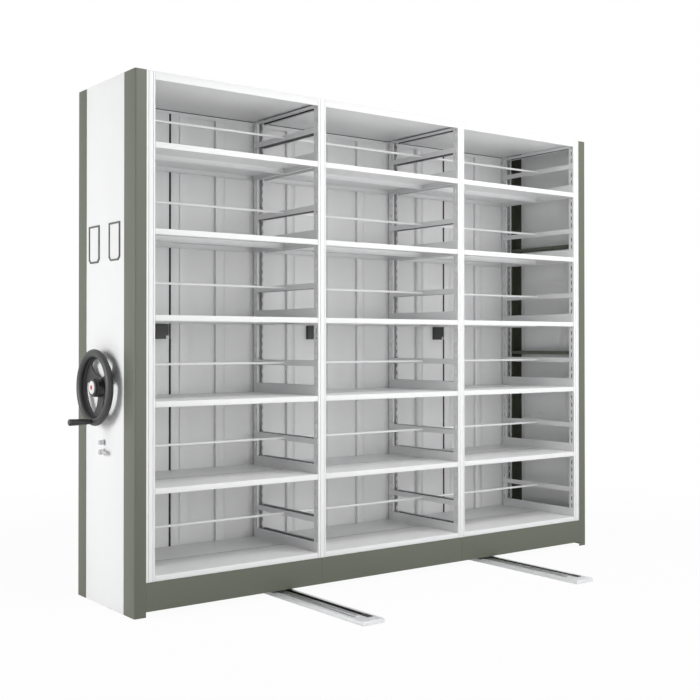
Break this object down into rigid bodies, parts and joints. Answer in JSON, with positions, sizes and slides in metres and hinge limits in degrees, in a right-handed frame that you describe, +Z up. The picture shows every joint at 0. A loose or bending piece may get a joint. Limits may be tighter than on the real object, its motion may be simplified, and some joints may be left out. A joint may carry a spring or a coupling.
{
  "type": "mobile shelving carriage",
  "caption": "Mobile double-depth shelving carriage that rolls on two floor rails, with open shelves in front, double doors behind and a handwheel on its end panel.",
  "frame": {"origin": "middle of the base of the whole model, on the floor under the rails", "axes": "+X along the bookcase from the handwheel end, +Y from the open front to the doors, +Z up"},
  "size_m": [3.015, 1.2706, 2.309],
  "materials": {
    "galvanised_steel": "dull zinc coating",
    "bright_steel": "ground bright steel",
    "black_rubber": "moulded rubber",
    "dark_chassis_paint": "satin black paint",
    "white_powder_coat": "fine textured powder coat",
    "olive_powder_coat": "fine textured powder coat",
    "charcoal_plastic": "grained moulded plastic",
    "black_plastic": "moulded plastic",
    "white_plastic": "smooth moulded plastic",
    "satin_chrome": "satin",
    "dark_frame": "satin paint",
    "chain_steel": "oiled steel"
  },
  "bodies": {
    "track": {"floor_rails": "galvanised_steel", "running_bars": "bright_steel", "rail_end_stops": "black_rubber"},
    "wheels_front": {"idle_wheels_front": "bright_steel"},
    "wheels_rear": {"idle_wheels_rear": "bright_steel"},
    "drive_line": {"drive_shaft": "bright_steel", "drive_wheels": "bright_steel"},
    "hand_wheel": {"handwheel": "charcoal_plastic", "wheel_cap": "white_plastic", "crank_spindle": "black_plastic", "wheel_shaft": "bright_steel"},
    "grip": {"crank_grip": "black_plastic"},
    "button": {"lock_button": "satin_chrome"},
    "lever": {"lock_lever": "satin_chrome"},
    "door_1_left": {"door_left_1": "white_powder_coat", "door_seal_1": "black_rubber", "lock_case_1": "black_plastic"},
    "door_1_right": {"door_right_1": "white_powder_coat"},
    "door_1_lock": {"lock_tongue_1": "satin_chrome"},
    "door_2_left": {"door_left_2": "white_powder_coat", "door_seal_2": "black_rubber", "lock_case_2": "black_plastic"},
    "door_2_right": {"door_right_2": "white_powder_coat"},
    "door_2_lock": {"lock_tongue_2": "satin_chrome"},
    "door_3_left": {"door_left_3": "white_powder_coat", "door_seal_3": "black_rubber", "lock_case_3": "black_plastic"},
    "door_3_right": {"door_right_3": "white_powder_coat"},
    "door_3_lock": {"lock_tongue_3": "satin_chrome"},
    "carriage": {"bearing_blocks": "dark_chassis_paint", "chassis_beams": "dark_chassis_paint", "chassis_trucks": "dark_chassis_paint", "door_pivots": "galvanised_steel", "drive_chain": "chain_steel", "end_panel_left": "white_powder_coat", "end_panel_right": "white_powder_coat", "idle_axles": "bright_steel", "label_holders": "dark_frame", "lock_rosettes": "satin_chrome", "panel_crossbars": "olive_powder_coat", "plinth_front": "olive_powder_coat", "plinth_rear": "olive_powder_coat", "rod_rails": "white_powder_coat", "shaft_carrier": "galvanised_steel", "shelf_brackets_bay_1": "white_powder_coat", "shelf_brackets_bay_2": "white_powder_coat", "shelf_brackets_bay_3": "white_powder_coat", "shelves_bay_1": "white_powder_coat", "shelves_bay_2": "white_powder_coat", "shelves_bay_3": "white_powder_coat", "stop_rods": "white_powder_coat", "top_panels": "white_powder_coat", "trims_left": "olive_powder_coat", "trims_right": "olive_powder_coat", "uprights_1": "white_powder_coat", "uprights_2": "white_powder_coat", "uprights_3": "white_powder_coat", "uprights_4": "white_powder_coat", "wheel_boss": "charcoal_plastic"}
  },
  "joints": [
    {"name": "carriage_roll", "type": "slide", "parent": "track", "child": "carriage", "axis": [0, 1, 0], "range_m": [-0.59, 0.02]},
    {"name": "front_wheels_spin", "type": "hinge", "parent": "carriage", "child": "wheels_front", "pos_m": [0.0835, 0.0805, 0.06], "axis": [1, 0, 0], "continuous": true},
    {"name": "rear_wheels_spin", "type": "hinge", "parent": "carriage", "child": "wheels_rear", "pos_m": [0.0835, 0.4895, 0.06], "axis": [1, 0, 0], "continuous": true},
    {"name": "drive_shaft_spin", "type": "hinge", "parent": "carriage", "child": "drive_line", "pos_m": [0.0835, 0.2905, 0.06], "axis": [1, 0, 0], "continuous": true},
    {"name": "handwheel_spin", "type": "hinge", "parent": "carriage", "child": "hand_wheel", "pos_m": [-1.3891, 0.2905, 0.963], "axis": [1, 0, 0], "continuous": true},
    {"name": "crank_grip_spin", "type": "hinge", "parent": "hand_wheel", "child": "grip", "pos_m": [-1.5075, 0.2905, 0.815], "axis": [1, 0, 0], "continuous": true},
    {"name": "lock_button_push", "type": "slide", "parent": "carriage", "child": "button", "axis": [1, 0, 0], "range_m": [0, 0.006]},
    {"name": "lock_lever_turn", "type": "hinge", "parent": "carriage", "child": "lever", "pos_m": [-1.3405, 0.2891, 0.68], "axis": [1, 0, 0], "range_deg": [0, 90]},
    {"name": "door_1_left_swing", "type": "hinge", "parent": "carriage", "child": "door_1_left", "pos_m": [-1.2532, 0.5735, 0.154], "axis": [0, 0, 1], "range_deg": [0, 90]},
    {"name": "door_1_right_swing", "type": "hinge", "parent": "carriage", "child": "door_1_right", "pos_m": [-0.3798, 0.5735, 0.154], "axis": [0, 0, -1], "range_deg": [0, 90]},
    {"name": "door_1_lock_turn", "type": "hinge", "parent": "door_1_left", "child": "door_1_lock", "pos_m": [-0.8942, 0.5645, 1.205], "axis": [0, 1, 0], "range_deg": [0, 90]},
    {"name": "door_2_left_swing", "type": "hinge", "parent": "carriage", "child": "door_2_left", "pos_m": [-0.3532, 0.5735, 0.154], "axis": [0, 0, 1], "range_deg": [0, 90]},
    {"name": "door_2_right_swing", "type": "hinge", "parent": "carriage", "child": "door_2_right", "pos_m": [0.5202, 0.5735, 0.154], "axis": [0, 0, -1], "range_deg": [0, 90]},
    {"name": "door_2_lock_turn", "type": "hinge", "parent": "door_2_left", "child": "door_2_lock", "pos_m": [0.0058, 0.5645, 1.205], "axis": [0, 1, 0], "range_deg": [0, 90]},
    {"name": "door_3_left_swing", "type": "hinge", "parent": "carriage", "child": "door_3_left", "pos_m": [0.5468, 0.5735, 0.154], "axis": [0, 0, 1], "range_deg": [0, 90]},
    {"name": "door_3_right_swing", "type": "hinge", "parent": "carriage", "child": "door_3_right", "pos_m": [1.4202, 0.5735, 0.154], "axis": [0, 0, -1], "range_deg": [0, 90]},
    {"name": "door_3_lock_turn", "type": "hinge", "parent": "door_3_left", "child": "door_3_lock", "pos_m": [0.9058, 0.5645, 1.205], "axis": [0, 1, 0], "range_deg": [0, 90]}
  ],
  "couplings": [
    {"joint": "front_wheels_spin", "follows": "carriage_roll", "rad_per_m": -25},
    {"joint": "rear_wheels_spin", "follows": "carriage_roll", "rad_per_m": -25},
    {"joint": "drive_shaft_spin", "follows": "carriage_roll", "rad_per_m": -25},
    {"joint": "handwheel_spin", "follows": "carriage_roll", "rad_per_m": -43.182}
  ]
}
